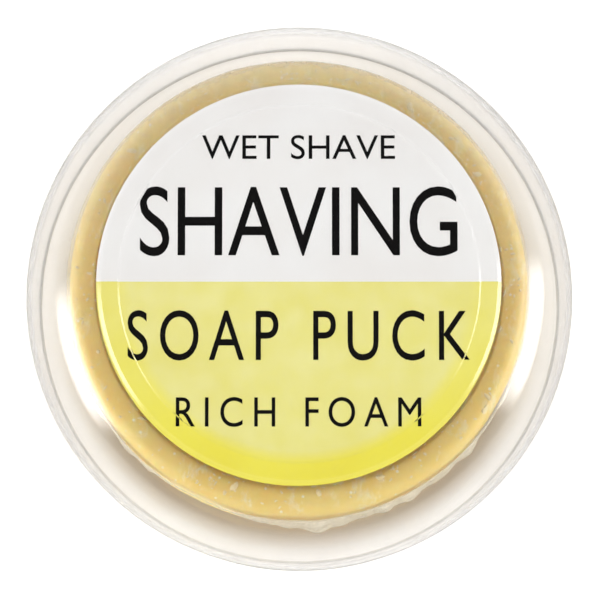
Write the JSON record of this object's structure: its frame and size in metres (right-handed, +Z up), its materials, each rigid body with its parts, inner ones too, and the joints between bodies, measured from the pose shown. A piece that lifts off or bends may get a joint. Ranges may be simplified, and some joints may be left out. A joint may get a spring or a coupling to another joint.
{
  "type": "shaving soap puck in tub",
  "caption": "Round pressed shaving soap wrapped in film, in a clear two-piece tub with a domed lift-off lid and a round label.",
  "frame": {"origin": "centre of the flat face under the base, which the tub rests on", "axes": "+Z up along the tub's axis, towards the lid; +Y towards the top of the label, as read"},
  "size_m": [0.0726, 0.0726, 0.0218],
  "materials": {
    "clear_plastic": "gloss",
    "soap": "satin",
    "clear_film": "satin",
    "printed_paper": "satin",
    "plain_paper": "matte"
  },
  "bodies": {
    "base": {"base_dish": "clear_plastic", "base_label": "plain_paper"},
    "lid": {"lid": "clear_plastic", "top_label": "printed_paper"},
    "film": {"film_wrap": "clear_film"},
    "soap": {"soap_puck": "soap"}
  },
  "joints": [
    {"name": "lid_lift", "type": "slide", "parent": "base", "child": "lid", "axis": [0, 0, 1], "range_m": [0, 0.075]},
    {"name": "soap_lift", "type": "slide", "parent": "base", "child": "soap", "axis": [0, 0, 1], "range_m": [0, 0.025]},
    {"name": "film_lift", "type": "slide", "parent": "soap", "child": "film", "axis": [0, 0, 1], "range_m": [0, 0.025]}
  ],
  "couplings": [
    {"joint": "soap_lift", "follows": "lid_lift", "ratio": 0.3333},
    {"joint": "film_lift", "follows": "lid_lift", "ratio": 0.3333}
  ]
}
